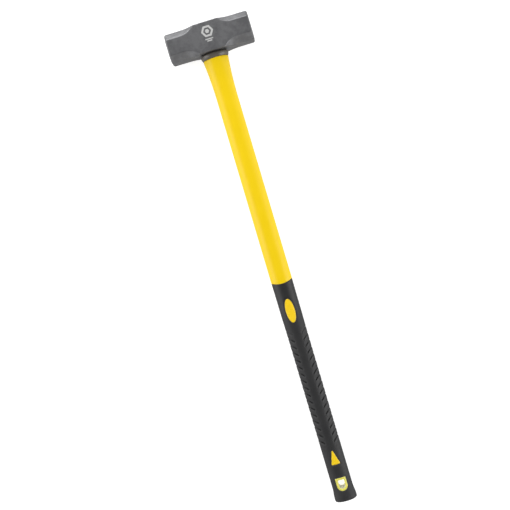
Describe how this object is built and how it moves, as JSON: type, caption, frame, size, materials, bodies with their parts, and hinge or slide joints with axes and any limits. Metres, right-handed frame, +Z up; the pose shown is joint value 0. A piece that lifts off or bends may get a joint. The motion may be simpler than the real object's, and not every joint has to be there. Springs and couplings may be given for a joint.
{
  "type": "sledgehammer",
  "caption": "Double-faced sledgehammer: forged octagonal-ended head bonded to a moulded fibreglass handle with a ribbed rubber grip and a hang hole.",
  "frame": {"origin": "centre of the head's lower cheek, on the surface the hammer lies on", "axes": "+X along the handle towards the butt, Y along the head from one striking face to the other, +Z up, away from the surface"},
  "size_m": [0.9, 0.1564, 0.054],
  "materials": {
    "head_steel": "drop-forged steel under a thin grey-black lacquer, bare and ground at the striking faces",
    "fibreglass": "pultruded glass fibre in polyester resin, sawn ends",
    "epoxy": "poured epoxy resin, dark, slightly sunken and glossy where it shows",
    "collar_plastic": "black moulded plastic, satin",
    "jacket_plastic": "yellow polypropylene, semi-gloss, fine orange peel",
    "grip_rubber": "black thermoplastic rubber, matt with a soft sheen, chevron ribs",
    "inlay_plastic": "yellow polypropylene, smooth",
    "liner_plastic": "pale yellow polypropylene, smooth"
  },
  "bodies": {
    "root": {"head": "head_steel", "fibreglass_core": "fibreglass", "epoxy_bond": "epoxy", "neck_collar": "collar_plastic", "handle_jacket": "jacket_plastic", "grip_sleeve": "grip_rubber", "oval_inlay_front": "inlay_plastic", "oval_inlay_back": "inlay_plastic", "triangle_inlay_front": "inlay_plastic", "triangle_inlay_back": "inlay_plastic", "hang_hole_liner": "liner_plastic"}
  },
  "joints": []
}
